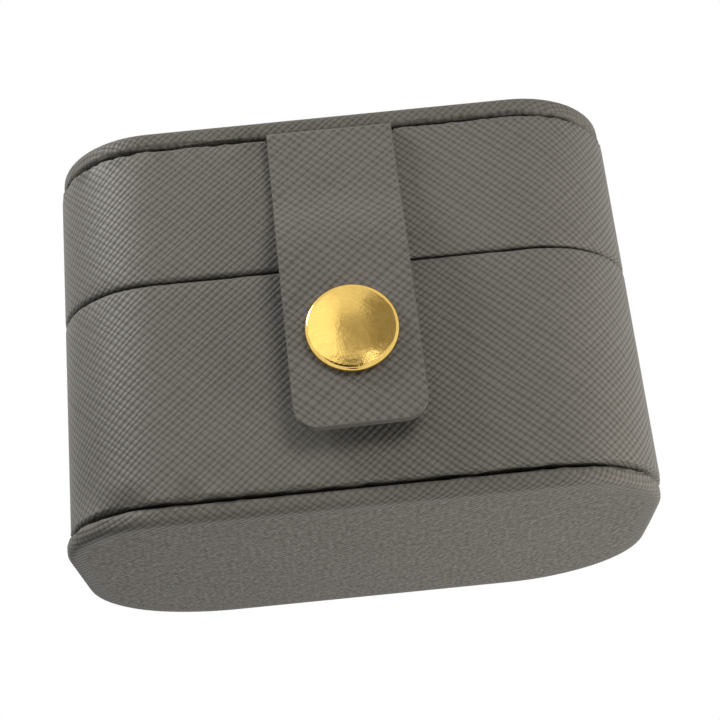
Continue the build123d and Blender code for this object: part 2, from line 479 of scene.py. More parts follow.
def brushedCap(name, settings, centre):
    material, nodes, links, shader = newMaterial(name)
    where = objectPlace(nodes)
    offset = vectorMath(nodes, links, "SUBTRACT", where, centre)
    smear = noise(nodes, links, where, 420.0, detail=3.0, roughness=0.6)
    ring = nodes.new("ShaderNodeCombineXYZ")
    links.new(vectorMath(nodes, links, "LENGTH", offset), ring.inputs["X"])
    links.new(valueMath(nodes, links, "MULTIPLY", smear, 1.6 * mm), ring.inputs["Y"])
    scratch = noise(nodes, links, ring.outputs["Vector"], 2600.0, detail=3.0, roughness=0.7)
    worn = noise(nodes, links, where, 1100.0, detail=4.0, roughness=0.7)
    tone = valueMath(nodes, links, "MULTIPLY_ADD", scratch, 0.6, -0.1)
    tone = valueMath(nodes, links, "MULTIPLY_ADD", worn, 0.35, tone)
    tone = valueMath(nodes, links, "MULTIPLY_ADD", smear, 0.5, tone)
    gloss = valueMath(nodes, links, "MULTIPLY_ADD", worn, 0.2, settings["roughness"] - 0.16)
    finishMetal(nodes, links, shader, tone, gloss, settings)
    height = valueMath(nodes, links, "MULTIPLY_ADD", worn, 1.5, scratch)
    emboss(nodes, links, shader, height, 0.02 * mm, strength=0.6)
    return material


def scratchedMetal(name, settings):
    material, nodes, links, shader = newMaterial(name)
    where = objectPlace(nodes)
    placed = nodes.new("ShaderNodeMapping")
    placed.inputs["Rotation"].default_value = (0, math.radians(-38), 0)
    placed.inputs["Scale"].default_value = (1, 1, 0.06)
    links.new(where, placed.inputs["Vector"])
    scratch = noise(nodes, links, placed.outputs["Vector"], 5200.0, detail=3.0, roughness=0.6)
    smear = noise(nodes, links, where, 420.0, detail=3.0, roughness=0.6)
    tone = valueMath(nodes, links, "MULTIPLY", scratch, 0.5)
    tone = valueMath(nodes, links, "MULTIPLY_ADD", smear, 0.6, tone)
    gloss = valueMath(nodes, links, "MULTIPLY_ADD", smear, 0.16, settings["roughness"] - 0.05)
    finishMetal(nodes, links, shader, tone, gloss, settings)
    emboss(nodes, links, shader, scratch, 0.012 * mm, strength=0.35)
    return material


leather = crossHatch("wallLeather", wallGrain)
strapLeather = crossHatch("strapLeather", strapGrain)
panelLeather = crossHatch("panelLeather", panelGrain)
rimLeather = crossHatch("rimLeather", rimGrain)
suede = suedeCloth("greySuede", (0.1, 0.092, 0.083), (0.2, 0.188, 0.172), 0.05 * mm)
velvet = suedeCloth("greyVelvet", (0.09, 0.083, 0.075), (0.19, 0.178, 0.162), 0.08 * mm)
cutEdge = suedeCloth("cutLeatherEdge", (0.045, 0.04, 0.033), (0.085, 0.078, 0.067), 0.03 * mm, bloom=0.12)
board = greyBoard("greyBoard", (0.33, 0.28, 0.22), (0.5, 0.44, 0.36))
foam = cellFoam("insertFoam", (0.12, 0.11, 0.1), (0.26, 0.24, 0.22))
gold = scratchedMetal("giltBrass", gilt)
steel = scratchedMetal("springSteel", sprung)
print("materials are made")


# Rounded plan of the box as one flat face, ready to be extruded
def planFace(name, grow, z):
    deselectAll()
    bpy.ops.mesh.primitive_plane_add(size=1)
    piece = editNew(name)
    size = (plan["width"] + 2 * grow, plan["depth"] + 2 * grow, 1)
    bpy.ops.transform.resize(value=size)
    bpy.ops.transform.translate(value=(0, 0, z))

    def atCorner(co):
        return all(abs(abs(place) - length / 2) < hair for place, length in zip(co.xy, size))
    for front, radius in ((True, plan["frontRadius"]), (False, plan["backRadius"])):
        pick("VERT", lambda v: atCorner(v.co) and (v.co.y < 0) == front)
        bpy.ops.mesh.bevel(offset=radius + grow, segments=plan["cornerSteps"], affect="VERTICES",
                           clamp_overlap=False)
    pick("EDGE", lambda e: e.calc_length() > plan["shortestStraight"])
    bpy.ops.mesh.subdivide(number_cuts=plan["straightCuts"])
    return piece


# Walls: leather laid round the board and turned in at both rims
wall = {
    "thickness": 3.2 * mm,
    "leather": 0.6 * mm,
    "hem": 4.5 * mm,
    "seamRadius": 0.64 * mm,
    "seamLap": 0.09 * mm,
    "grooveRadius": 0.64 * mm,
    "edgeSteps": 5,
    "rows": 8,
    "leastRow": 0.3 * mm,
    "hingeHalfWidth": 19.05 * mm,
    "hingeReach": 8.05 * mm,
    "grooveGap": 0.42 * mm,
    "grooveWaver": 0.18 * mm,
    "seamWaver": 0.05 * mm,
    "calmBack": 3 * mm,
}


def wrappedWall(name, low, high, hingeEnd):
    piece = planFace(name, 0, low)
    selectAll()
    bpy.ops.mesh.delete(type="ONLY_FACE")
    stops = sorted({low + wall["hem"], high - wall["hem"], hingeEnd, high}
                   | {low + (high - low) * row / wall["rows"] for row in range(1, wall["rows"])})
    level = low
    for stop in stops:
        if stop - level < wall["leastRow"]:
            continue
        pick("EDGE", lambda e: atHeight(e, level))
        bpy.ops.mesh.extrude_edges_move(TRANSFORM_OT_translate={"value": (0, 0, stop - level)})
        level = stop
    selectAll()
    bpy.ops.mesh.normals_make_consistent(inside=False)
    shapeWith(piece, "SOLIDIFY", thickness=wall["thickness"], offset=-1, use_even_offset=True)
    bpy.ops.object.mode_set(mode="EDIT")
    hemLow, hemHigh = low + wall["hem"] - levelSlack, high - wall["hem"] + levelSlack

    def betweenHems(face):
        centre = face.calc_center_median()
        depth = alongPlan(centre.x, centre.y)[1]
        return depth > wall["thickness"] - plan["slack"] and hemLow < centre.z < hemHigh
    pick("FACE", betweenHems)
    bpy.ops.mesh.delete(type="FACE")
    for rim in (low, high):
        pick("EDGE", lambda e: atHeight(e, rim) and followsPlan(e))
        radius = wall["seamRadius"] if abs(rim - seamZ) < 1 * mm else wall["grooveRadius"]
        bpy.ops.mesh.bevel(offset=radius, segments=wall["edgeSteps"], affect="EDGES")
    selectAll()
    bpy.ops.mesh.remove_doubles(threshold=hair)
    shapeWith(piece, "SOLIDIFY", thickness=wall["leather"], offset=-1, use_even_offset=True)
    settle(piece)
    return piece


baseRims = (baseLow + wall["grooveGap"], baseHigh + wall["seamLap"])
lidRims = (lidLow - wall["seamLap"], lidHigh - wall["grooveGap"])
baseWall = wrappedWall("baseWallCover", *baseRims, seamZ - wall["hingeReach"])
layUv(baseWall, wallUv(baseLow, baseHigh))
dress(baseWall, leather, "saffiano", "base", "base_wall_cover")
lidWall = wrappedWall("lidWallCover", *lidRims, seamZ + wall["hingeReach"])
layUv(lidWall, wallUv(lidLow, lidHigh))
dress(lidWall, leather, "saffiano", "lid", "lid_wall_cover")
print("walls are wrapped")


# Stiff panels, wrapped like the walls and set back from them
panel = {
    "grow": -0.3 * mm,
    "outerRadius": 1.0 * mm,
    "innerRadius": 0.8 * mm,
    "steps": 6,
    "hemWidth": 8 * mm,
    "rings": (1.2 * mm, 3 * mm, 5 * mm),
    "flatStart": 2.3 * mm,
    "flatSlack": 0.1 * mm,
    "waver": 0.11 * mm,
    "waverHeight": 0.7 * mm,
    "waverDepth": 0.9 * mm,
}


def wrappedPanel(name, low, high, faceDown):
    face, inner = (low, high) if faceDown else (high, low)
    piece = planFace(name, panel["grow"], face)
    selectAll()
    bpy.ops.mesh.extrude_region_move(TRANSFORM_OT_translate={"value": (0, 0, inner - face)})
    pick("EDGE", lambda e: atHeight(e, face))
    bpy.ops.mesh.bevel(offset=panel["outerRadius"], segments=panel["steps"], affect="EDGES")
    pick("EDGE", lambda e: atHeight(e, inner))
    bpy.ops.mesh.bevel(offset=panel["innerRadius"], segments=panel["steps"], affect="EDGES")
    pick("FACE", lambda f: all(abs(v.co.z - inner) < hair for v in f.verts))
    bpy.ops.mesh.inset(thickness=panel["hemWidth"] - panel["innerRadius"])
    bpy.ops.mesh.delete(type="FACE")
    pick("FACE", lambda f: all(abs(v.co.z - face) < hair for v in f.verts))
    for width in panel["rings"]:
        bpy.ops.mesh.inset(thickness=width)
    cleanNormals()
    piece.data.materials.append(rimLeather)
    piece.data.materials.append(panelLeather)
    pick("FACE", lambda f: abs(f.calc_center_median().z - face) < panel["flatSlack"]
         and alongPlan(*f.calc_center_median().xy)[1] > panel["flatStart"])
    piece.active_material_index = 1
    bpy.ops.object.material_slot_assign()
    shapeWith(piece, "SOLIDIFY", thickness=wall["leather"], offset=-1, use_even_offset=True)
    bpy.ops.object.mode_set(mode="EDIT")
    pick("VERT", lambda v: abs(v.co.z - inner) < panel["waverHeight"]
         and alongPlan(*v.co.xy)[1] < panel["waverDepth"] and not underStrap(v.co))
    bpy.ops.transform.vertex_random(offset=panel["waver"], uniform=0, normal=1, seed=5)
    settle(piece)
    return piece


# The bottom panel was cut by hand: full at its left end, tight at its back right corner
handCut = {
    "leftEnd": -32 * mm,
    "leftMove": (-0.8 * mm, 0, 0),
    "rightCorner": (30 * mm, 10 * mm),
    "rightMove": (-0.15 * mm, -0.22 * mm, 0),
    "reach": 12 * mm,
}


def shiftWhere(test, piece, move):
    reopen(piece)
    pick("VERT", lambda v: test(v.co))
    bpy.ops.transform.translate(value=move, use_proportional_edit=True, proportional_edit_falloff="SMOOTH",
                                proportional_size=handCut["reach"])
    deselectAll()


def inLeftEnd(co):
    return co.x < handCut["leftEnd"]


def inRightCorner(co):
    return co.x > handCut["rightCorner"][0] and co.y > handCut["rightCorner"][1]


bottomPanel = wrappedPanel("bottomPanelCover", 0, baseLow, True)
shiftWhere(inLeftEnd, bottomPanel, handCut["leftMove"])
shiftWhere(inRightCorner, bottomPanel, handCut["rightMove"])
layUv(bottomPanel, panelUv(0, -1))
dress(bottomPanel, panelLeather, "saffiano", "base", "bottom_cover")
topPanel = wrappedPanel("topPanelCover", lidHigh, boxTop, False)
layUv(topPanel, panelUv(boxTop, 1))
dress(topPanel, panelLeather, "saffiano", "lid", "top_cover")
print("panels are wrapped")


# Pockets and holes cut by a block or a drill
def cutAway(piece, low, high):
    deselectAll()
    bpy.ops.mesh.primitive_cube_add(size=1)
    block = editNew("cuttingBlock")
    fillBox(low, high)
    carve(piece, block)


# A rod along y through the middle of the snap
def snapRod(radius, near, far):
    bpy.ops.mesh.primitive_cylinder_add(vertices=strap["rodSides"], radius=radius, depth=far - near,
                                        rotation=(math.pi / 2, 0, 0), location=(snapX, (near + far) / 2, snapZ))


def drill(piece, hole):
    deselectAll()
    snapRod(*hole)
    carve(piece, bpy.context.object)


# Strap: three layers, an S-bend away from the wall and a fold tucked under the top panel
strap = {
    "width": 16.3 * mm,
    "drop": 42.6 * mm,
    "topGap": 0.5 * mm,
    "cornerRadius": 3.0 * mm,
    "cornerSteps": 10,
    "lean": 0.8,
    "outer": 0.6 * mm,
    "core": 0.3 * mm,
    "coreNarrower": 0.08 * mm,
    "backing": 0.5 * mm,
    "backingNarrower": 0.04 * mm,
    "wallClearance": 0.15 * mm,
    "standoff": 2.4 * mm,
    "bendStart": 8.5 * mm,
    "bendHeight": 10 * mm,
    "foldRadius": 0.75 * mm,
    "tail": 4.4 * mm,
    "foldSteps": 6,
    "foldGap": 0.03 * mm,
    "foldSlack": 0.3 * mm,
    "rowStep": 0.5 * mm,
    "snapRise": 12.1 * mm,
    "rodSides": 32,
}
# Holes as radius and from where to where along y
strapHole = (1.6 * mm, -40 * mm, -20 * mm)
wallHole = (1.2 * mm, -26 * mm, -18 * mm)
strapPocket = {
    "left": 0.2 * mm,
    "right": 0.4 * mm,
    "depth": 3.25 * mm,
    "drop": 0.62 * mm,
    "clear": 1 * mm,
}
strapThickness = strap["outer"] + strap["core"] + strap["backing"]
strapTopY = frontY - strap["wallClearance"] - strapThickness
strapEnd = lidHigh - strap["drop"]
snapZ = strapEnd + strap["snapRise"]
snapX = (lidHigh - snapZ) * math.tan(math.radians(strap["lean"]))
strapFrontY = frontY - strap["standoff"] - strapThickness


# How far the strap has moved out from the wall at a height
def strapBow(z):
    bow = strap["standoff"] - strap["wallClearance"]
    half = strap["bendHeight"] / 2
    radius = (strap["bendHeight"] ** 2 + bow ** 2) / (4 * bow)
    down = lidHigh - strap["bendStart"] - z
    if down <= 0:
        return 0
    if down <= half:
        return radius - math.sqrt(radius ** 2 - down ** 2)
    if down < 2 * half:
        return bow - radius + math.sqrt(radius ** 2 - (2 * half - down) ** 2)
    return bow


def strapLayer(name, depth, thickness, narrower, folded):
    deselectAll()
    bpy.ops.mesh.primitive_plane_add(size=1, rotation=(math.pi / 2, 0, 0))
    bpy.ops.object.transform_apply(rotation=True)
    piece = editNew(name)
    top = lidHigh - strap["topGap"] - (strap["foldRadius"] if folded else strap["outer"] + strap["foldGap"])
    height = top - strapEnd - narrower
    bpy.ops.transform.resize(value=(strap["width"] - 2 * narrower, 1, height))
    bpy.ops.transform.translate(value=(0, strapTopY, top - height / 2))
    pick("VERT", lambda v: v.co.z < strapEnd + 1 * mm)
    bpy.ops.mesh.bevel(offset=strap["cornerRadius"] - narrower, segments=strap["cornerSteps"],
                       affect="VERTICES")
    selectAll()
    bpy.ops.transform.rotate(value=math.radians(strap["lean"]), orient_axis="Y",
                             center_override=(0, strapTopY, lidHigh))
    level = strapEnd + strap["cornerRadius"]
    while level < top - strap["rowStep"]:
        selectAll()
        bpy.ops.mesh.bisect(plane_co=(0, 0, level), plane_no=(0, 0, 1))
        level += strap["rowStep"]
    heights = sorted({round(v.co.z, 6) for v in bmesh.from_edit_mesh(piece.data).verts})
    for height in heights:
        bow = strapBow(height)
        if bow > 0:
            pick("VERT", lambda v: abs(v.co.z - height) < 2 * hair)
            bpy.ops.transform.translate(value=(0, -bow, 0))
    if folded:
        tip = max(v.co.z for v in bmesh.from_edit_mesh(piece.data).verts)
        tail = (0, strap["tail"] - strap["foldRadius"], 0)
        pick("EDGE", lambda e: all(v.co.z > tip - 0.4 * mm for v in e.verts)
             and abs(e.verts[0].co.x - e.verts[1].co.x) > 1 * mm)
        bpy.ops.mesh.spin(steps=strap["foldSteps"], angle=math.pi / 2, axis=(1, 0, 0),
                          center=(0, strapTopY + strap["foldRadius"], tip))
        bpy.ops.mesh.extrude_edges_move(TRANSFORM_OT_translate={"value": tail})
    cleanNormals()
    shape = bmesh.from_edit_mesh(piece.data)
    shape.faces.ensure_lookup_table()
    lowest = min(shape.faces, key=lambda f: f.calc_center_median().z)
    if lowest.normal.y > 0:
        selectAll()
        bpy.ops.mesh.flip_normals()
    if depth:
        selectAll()
        bpy.ops.transform.shrink_fatten(value=-depth)
    piece.data.materials.append(cutEdge if name == "strapCore" else strapLeather)
    piece.data.materials.append(cutEdge)
    shapeWith(piece, "SOLIDIFY", thickness=thickness, offset=-1, use_even_offset=True, material_offset_rim=1)
    drill(piece, strapHole)
    settle(piece)
    return piece


def strapUv(co, normal):
    turn = math.radians(strap["lean"])
    x, z = co.x, co.z - lidHigh
    u = x * math.cos(turn) + z * math.sin(turn)
    if co.y > strapTopY + strap["foldSlack"] and co.z > lidHigh - 1 * mm:
        return u, co.y - strapTopY
    return u, z * math.cos(turn)


strapOuter = strapLayer("strapOuter", 0, strap["outer"], 0, True)
strapCore = strapLayer("strapCore", strap["outer"], strap["core"], strap["coreNarrower"], False)
strapBacking = strapLayer("strapBacking", strap["outer"] + strap["core"], strap["backing"],
                          strap["backingNarrower"], False)
for piece, slotName, nodes in (
    (strapOuter, "saffiano", ("strap_outer", "strap_root")),
    (strapCore, "board", ("strap_core",)),
    (strapBacking, "saffiano", ("strap_backing",)),
):
    layUv(piece, strapUv)
    dress(piece, strapLeather, slotName, None, *nodes)
    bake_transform(piece)
pocketLow = (-strap["width"] / 2 - strapPocket["left"], frontY - strapPocket["clear"],
             lidHigh - strap["topGap"] - strapPocket["drop"])
pocketHigh = (strap["width"] / 2 + strapPocket["right"], frontY + strapPocket["depth"],
              lidHigh + strapPocket["clear"])
cutAway(lidWall, pocketLow, pocketHigh)
drill(baseWall, wallHole)
print("strap is bent and riveted")


# Snap cap: rolled edge and a nearly flat crown
snap = {
    "radius": 5.8 * mm,
    "curl": 0.65 * mm,
    "rimHeight": 1.15 * mm,
    "height": 1.6 * mm,
    "sides": 96,
    "curlSteps": 10,
    "crownSteps": 9,
    "crownRound": 2.2,
    "postRadius": 1.5 * mm,
    "postStart": -0.3 * mm,
    "flareRadius": 1.9 * mm,
    "flare": 0.3 * mm,
    "socketBack": 0.35 * mm,
    "brushCentre": (-3.4 * mm, -3.0 * mm),
}


# The cap's outline, as radius and height, from the back of the curl to near the middle
def capProfile(faceRadius):
    profile = []
    for step in range(1, snap["curlSteps"] + 1):
        turn = math.pi * step / snap["curlSteps"]
        rise = snap["rimHeight"] / 2 * (1 - math.cos(turn))
        profile.append((faceRadius + snap["curl"] * math.sin(turn), rise))
    crown = snap["height"] - snap["rimHeight"]
    for step in range(1, snap["crownSteps"]):
        share = step / snap["crownSteps"]
        rise = crown * (1 - (1 - share) ** snap["crownRound"])
        profile.append((faceRadius * (1 - share), snap["rimHeight"] + rise))
    return profile


def pressedCap(name):
    radius, height = snap["radius"] - snap["curl"], 0
    profile = capProfile(radius)
    deselectAll()
    bpy.ops.mesh.primitive_circle_add(vertices=snap["sides"], radius=radius, fill_type="NGON")
    piece = editNew(name)
    for nextRadius, nextHeight in profile:
        bpy.ops.mesh.extrude_region_move(TRANSFORM_OT_translate={"value": (0, 0, nextHeight - height)})
        bpy.ops.transform.resize(value=(nextRadius / radius, nextRadius / radius, 1))
        radius, height = nextRadius, nextHeight
    bpy.ops.mesh.poke()
    selectAll()
    bpy.ops.transform.rotate(value=math.pi / 2, orient_axis="X", center_override=(0, 0, 0))
    shape = bmesh.from_edit_mesh(piece.data)
    if max(v.co.y for v in shape.verts) > 1 * mm:
        bpy.ops.transform.rotate(value=math.pi, orient_axis="X", center_override=(0, 0, 0))
    bpy.ops.transform.translate(value=(snapX, strapFrontY, snapZ))
    cleanNormals()
    bpy.ops.mesh.select_all(action="DESELECT")
    postEnd = strapThickness + snap["socketBack"]
    snapRod(snap["postRadius"], strapFrontY + snap["postStart"], strapFrontY + postEnd)
    snapRod(snap["flareRadius"], strapFrontY + postEnd, strapFrontY + postEnd + snap["flare"])
    settle(piece, angle=30)
    return piece


snapCap = pressedCap("snapCap")
brushCentre = (snapX + snap["brushCentre"][0], strapFrontY, snapZ + snap["brushCentre"][1])
dress(snapCap, brushedCap("brushedGilt", gilt, brushCentre), "gilt", "strap", "snap_cap")
print("snap is pressed")


# Leather hinge set into the back of both covers
hinge = {
    "width": 38 * mm,
    "height": 16 * mm,
    "thickness": 0.6 * mm,
    "rows": 32,
    "crease": 0.22 * mm,
    "creaseReach": 1.2 * mm,
    "pocketDepth": 0.63 * mm,
}


def leatherHinge(name):
    deselectAll()
    bpy.ops.mesh.primitive_plane_add(size=1, rotation=(-math.pi / 2, 0, 0))
    bpy.ops.object.transform_apply(rotation=True)
    piece = editNew(name)
    bpy.ops.transform.resize(value=(hinge["width"], 1, hinge["height"]))
    bpy.ops.transform.translate(value=(0, backY, seamZ))
    for row in range(1, hinge["rows"]):
        selectAll()
        level = seamZ + hinge["height"] * (row / hinge["rows"] - 0.5)
        bpy.ops.mesh.bisect(plane_co=(0, 0, level), plane_no=(0, 0, 1))
    heights = sorted({round(v.co.z, 6) for v in bmesh.from_edit_mesh(piece.data).verts})
    for height in heights:
        reach = abs(height - seamZ) / hinge["creaseReach"]
        if reach < 1:
            pick("VERT", lambda v: abs(v.co.z - height) < 2 * hair)
            bpy.ops.transform.translate(value=(0, -hinge["crease"] * (1 - reach) ** 2, 0))
    piece.data.materials.append(leather)
    piece.data.materials.append(cutEdge)
    shapeWith(piece, "SOLIDIFY", thickness=hinge["thickness"], offset=-1, material_offset_rim=1)
    settle(piece)
    return piece


hingeCover = leatherHinge("hingeCover")
layUv(hingeCover, lambda co, normal: (halfRound - co.x, co.z))
dress(hingeCover, leather, "saffiano", None, "hinge_strip")
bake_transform(hingeCover)
for cover in (baseWall, lidWall):
    cutAway(cover, (-wall["hingeHalfWidth"], backY - hinge["pocketDepth"], seamZ - wall["hingeReach"]),
            (wall["hingeHalfWidth"], backY + 1 * mm, seamZ + wall["hingeReach"]))
print("hinge is set in")


# Leather pulled over a rim is never quite even
def unevenRim(piece, rim, reach, offset, seed):
    reopen(piece)
    pick("VERT", lambda v: abs(v.co.z - rim) < reach - levelSlack and v.co.y < backY - wall["calmBack"]
         and alongPlan(*v.co.xy)[1] < reach and not (underStrap(v.co) and v.co.z > lidLow + 1 * mm))
    bpy.ops.transform.vertex_random(offset=offset, uniform=0, normal=1, seed=seed)
    deselectAll()


for piece, rim, kind, seed in (
    (baseWall, baseRims[0], "groove", 3),
    (baseWall, baseRims[1], "seam", 4),
    (lidWall, lidRims[0], "seam", 5),
    (lidWall, lidRims[1], "groove", 6),
):
    unevenRim(piece, rim, wall[kind + "Radius"], wall[kind + "Waver"], seed)
print("rims are pulled uneven")


# Suede-covered card round the inside
liner = {
    "outer": 3.2 * mm,
    "thickness": 0.8 * mm,
    "edgeRadius": 0.35 * mm,
    "edgeSteps": 4,
}


def suedeLiner(name, node, rim):
    low, high = (corner.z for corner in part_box(node))
    piece = planFace(name, -liner["outer"], low)
    selectAll()
    bpy.ops.mesh.delete(type="ONLY_FACE")
    pick("EDGE", lambda e: atHeight(e, low))
    bpy.ops.mesh.extrude_edges_move(TRANSFORM_OT_translate={"value": (0, 0, high - low)})
    selectAll()
    bpy.ops.mesh.normals_make_consistent(inside=False)
    shapeWith(piece, "SOLIDIFY", thickness=liner["thickness"], offset=-1, use_even_offset=True)
    bpy.ops.object.mode_set(mode="EDIT")
    edge = high if rim == "high" else low
    pick("EDGE", lambda e: atHeight(e, edge) and followsPlan(e))
    bpy.ops.mesh.bevel(offset=liner["edgeRadius"], segments=liner["edgeSteps"], affect="EDGES")
    settle(piece)
    return piece


baseLiner = suedeLiner("baseLiner", "base_liner", "high")
dress(baseLiner, suede, "suede", "base", "base_liner")
lidLiner = suedeLiner("lidLiner", "lid_liner", "low")
dress(lidLiner, suede, "suede", "lid", "lid_liner")
print("liners are bent in")


# Velvet cushions, swollen a little by cloth under pressure
cushion = {
    "shrink": 0.45 * mm,
    "inset": 4.2 * mm,
    "endRadius": 3.8 * mm,
    "topRadius": 3.6 * mm,
    "footRadius": 0.9 * mm,
    "roundSteps": 8,
    "footSteps": 3,
    "smoothing": 3,
    "softness": 0.6,
    "voxel": 0.7 * mm,
    "enlarged": 10,
    "pressure": 4.0,
    "travel": 0.42 * mm,
    "frames": 20,
    "fill": 0.8,
}


def scaleBy(piece, factor):
    piece.scale = (factor,) * 3
    choose(piece)
    bpy.ops.object.transform_apply(scale=True)


# The cloth is solved while the piece is enlarged, because it is steadier so
def swell(piece, travel):
    enlarged = cushion["enlarged"]
    scaleBy(piece, enlarged)
    piece.data.remesh_voxel_size = cushion["voxel"] * enlarged
    bpy.ops.object.voxel_remesh()
    shapeWith(piece, "SMOOTH", factor=cushion["softness"], iterations=cushion["smoothing"])
    start = [vertex.co.copy() for vertex in piece.data.vertices]
    cloth = piece.modifiers.new("Cloth", "CLOTH")
    cloth.settings.use_pressure = True
    cloth.settings.uniform_pressure_force = cushion["pressure"]
    cloth.settings.effector_weights.gravity = 0
    for frameNumber in range(1, cushion["frames"] + 1):
        bpy.context.scene.frame_set(frameNumber)
    moved = piece.evaluated_get(bpy.context.evaluated_depsgraph_get()).to_mesh()
    ends = [vertex.co.copy() for vertex in moved.vertices]
    piece.modifiers.remove(cloth)
    bpy.context.scene.frame_set(1)
    for vertex, first, last in zip(piece.data.vertices, start, ends):
        step = last - first
        vertex.co = first + step * min(1, travel * enlarged / max(step.length, 1e-9))
    scaleBy(piece, 1 / enlarged)
    shapeWith(piece, "SUBSURF", levels=1, render_levels=1)


def velvetRoll(name, node):
    low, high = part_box(node)
    shrink = cushion["shrink"]
    prism = planFace("planPrism", -(cushion["inset"] + shrink), low.z - 1 * mm)
    selectAll()
    bpy.ops.mesh.extrude_region_move(TRANSFORM_OT_translate={"value": (0, 0, high.z - low.z + 2 * mm)})
    cleanNormals()
    deselectAll()
    bpy.ops.mesh.primitive_cube_add(size=1)
    piece = editNew(name)
    fillBox(low, high, shrink)
    pick("EDGE", lambda e: abs(e.verts[0].co.z - e.verts[1].co.z) > 1 * mm)
    bpy.ops.mesh.bevel(offset=cushion["endRadius"], segments=cushion["roundSteps"], affect="EDGES")
    pick("EDGE", lambda e: atHeight(e, high.z - shrink))
    bpy.ops.mesh.bevel(offset=cushion["topRadius"], segments=cushion["roundSteps"], affect="EDGES")
    pick("EDGE", lambda e: atHeight(e, low.z + shrink))
    bpy.ops.mesh.bevel(offset=cushion["footRadius"], segments=cushion["footSteps"], affect="EDGES")
    cleanNormals()
    carve(piece, prism, "INTERSECT")
    swell(piece, cushion["travel"])
    settle(piece, angle=60)
    return piece


for number in range(1, 5):
    roll = velvetRoll(f"ringRoll{number}", f"ring_roll_{number}")
    dress(roll, velvet, "velvet", "base", f"ring_roll_{number}")


# The lid's pad swells in the same way
padShape = {
    "shrink": 0.5 * mm,
    "edge": 1.2 * mm,
    "edgeSteps": 5,
    "travel": 0.45 * mm,
}


def padUnderLid(name, node):
    low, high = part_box(node)
    shrink = padShape["shrink"]
    inset = plan["width"] / 2 + low.x + shrink
    piece = planFace(name, -inset, high.z - shrink)
    selectAll()
    bpy.ops.mesh.extrude_region_move(TRANSFORM_OT_translate={"value": (0, 0, low.z - high.z + 2 * shrink)})
    pick("EDGE", lambda e: atHeight(e, low.z + shrink))
    bpy.ops.mesh.bevel(offset=padShape["edge"], segments=padShape["edgeSteps"], affect="EDGES")
    cleanNormals()
    bpy.ops.object.mode_set(mode="OBJECT")
    swell(piece, padShape["travel"])
    settle(piece, angle=60)
    return piece


lidPad = padUnderLid("lidPad", "lid_pad")
dress(lidPad, velvet, "velvet", "lid", "lid_pad")
print("cushions are swollen")


# Camera at the photograph's angle
pixels = 720
view = {
    "azimuth": -0.41,
    "elevation": -22.97,
    "roll": -5.81,
    "distance": 218.4 * mm,
    "focalPixels": 1572,
    "shiftX": 10 / pixels,
    "shiftY": -3 / pixels,
    "aimZ": baseLow + 0.35 * plan["width"],
    "sensor": 36,
}


def placeCamera(settings):
    azimuth, elevation, roll = (math.radians(settings[key]) for key in ("azimuth", "elevation", "roll"))
    away = Vector((math.sin(azimuth) * math.cos(elevation), -math.cos(azimuth) * math.cos(elevation),
                   math.sin(elevation)))
    right = Vector((0, 0, 1)).cross(away).normalized()
    up = away.cross(right)
    rightTurned = right * math.cos(roll) + up * math.sin(roll)
    upTurned = up * math.cos(roll) - right * math.sin(roll)
    lens = bpy.data.cameras.new("photoCamera")
    lens.sensor_width = settings["sensor"]
    lens.lens = settings["focalPixels"] / pixels * settings["sensor"]
    lens.shift_x = settings["shiftX"]
    lens.shift_y = settings["shiftY"]
    lens.clip_start = 0.01
    camera = bpy.data.objects.new("photoCamera", lens)
    bpy.context.scene.collection.objects.link(camera)
    turn = Matrix((rightTurned, upTurned, away)).transposed().to_4x4()
    spot = Vector((0, 0, settings["aimZ"])) + away * settings["distance"]
    camera.matrix_world = Matrix.Translation(spot) @ turn
    bpy.context.scene.camera = camera


placeCamera(view)


# Lamps round the box, as name, place, aim, size and power; only the key lamp shows in reflections
lamps = (
    ("keyLamp", (-0.20, -0.11, 0.21), (-0.01, -0.02, 0.03), 0.08, 0.70),
    ("fillLamp", (0.12, -0.26, 0.13), (0.02, -0.02, 0.03), 0.12, 0.62),
    ("lowLamp", (0.17, -0.05, -0.105), (0.02, 0, 0.0), 0.10, 0.62),
    ("backLamp", (0.12, 0.30, 0.15), (0, 0.02, 0.03), 0.16, 0.75),
    ("sideLamp", (-0.24, 0.2, 0.16), (0, 0.02, 0.03), 0.14, 0.5),
)
for name, spot, aim, size, power in lamps:
    lamp = bpy.data.lights.new(name, "AREA")
    lamp.size = size
    lamp.energy = power
    holder = bpy.data.objects.new(name, lamp)
    bpy.context.scene.collection.objects.link(holder)
    holder.location = spot
    holder.rotation_euler = (Vector(spot) - Vector(aim)).to_track_quat("Z", "Y").to_euler()
    holder.visible_glossy = name == "keyLamp"


# Cards that only reflections see: painted reflections on the gilt, dark ones for its edge, grey and white ones
# for its tone, and a glowing one for a painted glint
def addCard(name, low, high, y, tone):
    deselectAll()
    bpy.ops.mesh.primitive_plane_add(size=1, rotation=(math.pi / 2, 0, 0),
                                     location=((low[0] + high[0]) / 2, y, (low[1] + high[1]) / 2))
    sheet = bpy.context.object
    sheet.scale = (high[0] - low[0], high[1] - low[1], 1)
    sheet.name = name
    material, nodes, links, _ = newMaterial(name)
    glow = nodes.new("ShaderNodeEmission")
    glow.inputs["Color"].default_value = (*tone, 1)
    links.new(glow.outputs["Emission"], nodes["Material Output"].inputs["Surface"])
    sheet.data.materials.append(material)
    sheet.visible_camera = sheet.visible_diffuse = sheet.visible_shadow = sheet.visible_transmission = False


